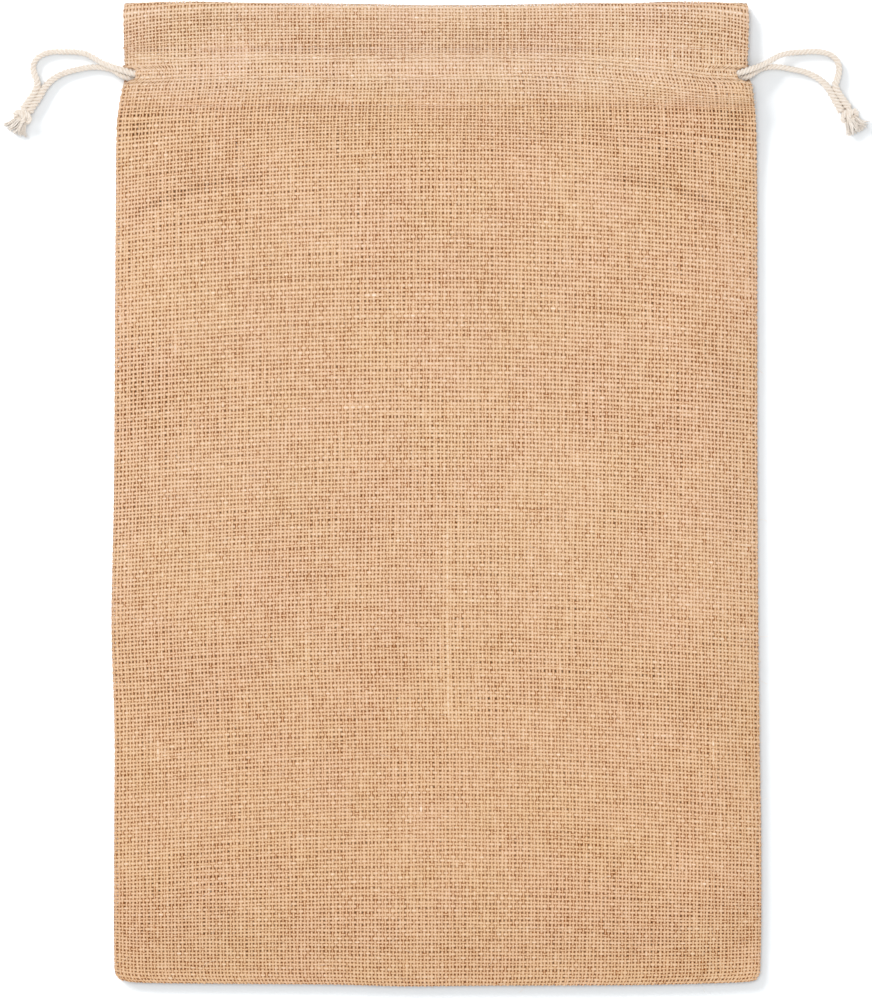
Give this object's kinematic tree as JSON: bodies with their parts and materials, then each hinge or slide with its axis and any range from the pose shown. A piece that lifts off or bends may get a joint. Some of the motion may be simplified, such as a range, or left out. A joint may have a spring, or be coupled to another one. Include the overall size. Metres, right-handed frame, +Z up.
{
  "type": "jute drawstring sack",
  "caption": "Flat-lying plain-woven jute sack with a turned-in hem that forms a casing for two twisted cotton drawcords, each knotted and frayed at its side.",
  "frame": {"origin": "under the middle of the sack, on the plane it lies on", "axes": "+X across the sack to its right side, +Y along it from the bottom seam to the mouth, +Z up from the surface it lies on"},
  "size_m": [0.4027, 0.4582, 0.0159],
  "materials": {
    "jute_cloth": "matt plain-woven jute, natural tan",
    "cotton_cord": "matt twisted cotton, natural cream"
  },
  "bodies": {
    "root": {"front_panel": "jute_cloth", "back_panel": "jute_cloth", "left_cord": "cotton_cord", "right_cord": "cotton_cord", "left_knot": "cotton_cord", "right_knot": "cotton_cord"}
  },
  "joints": []
}
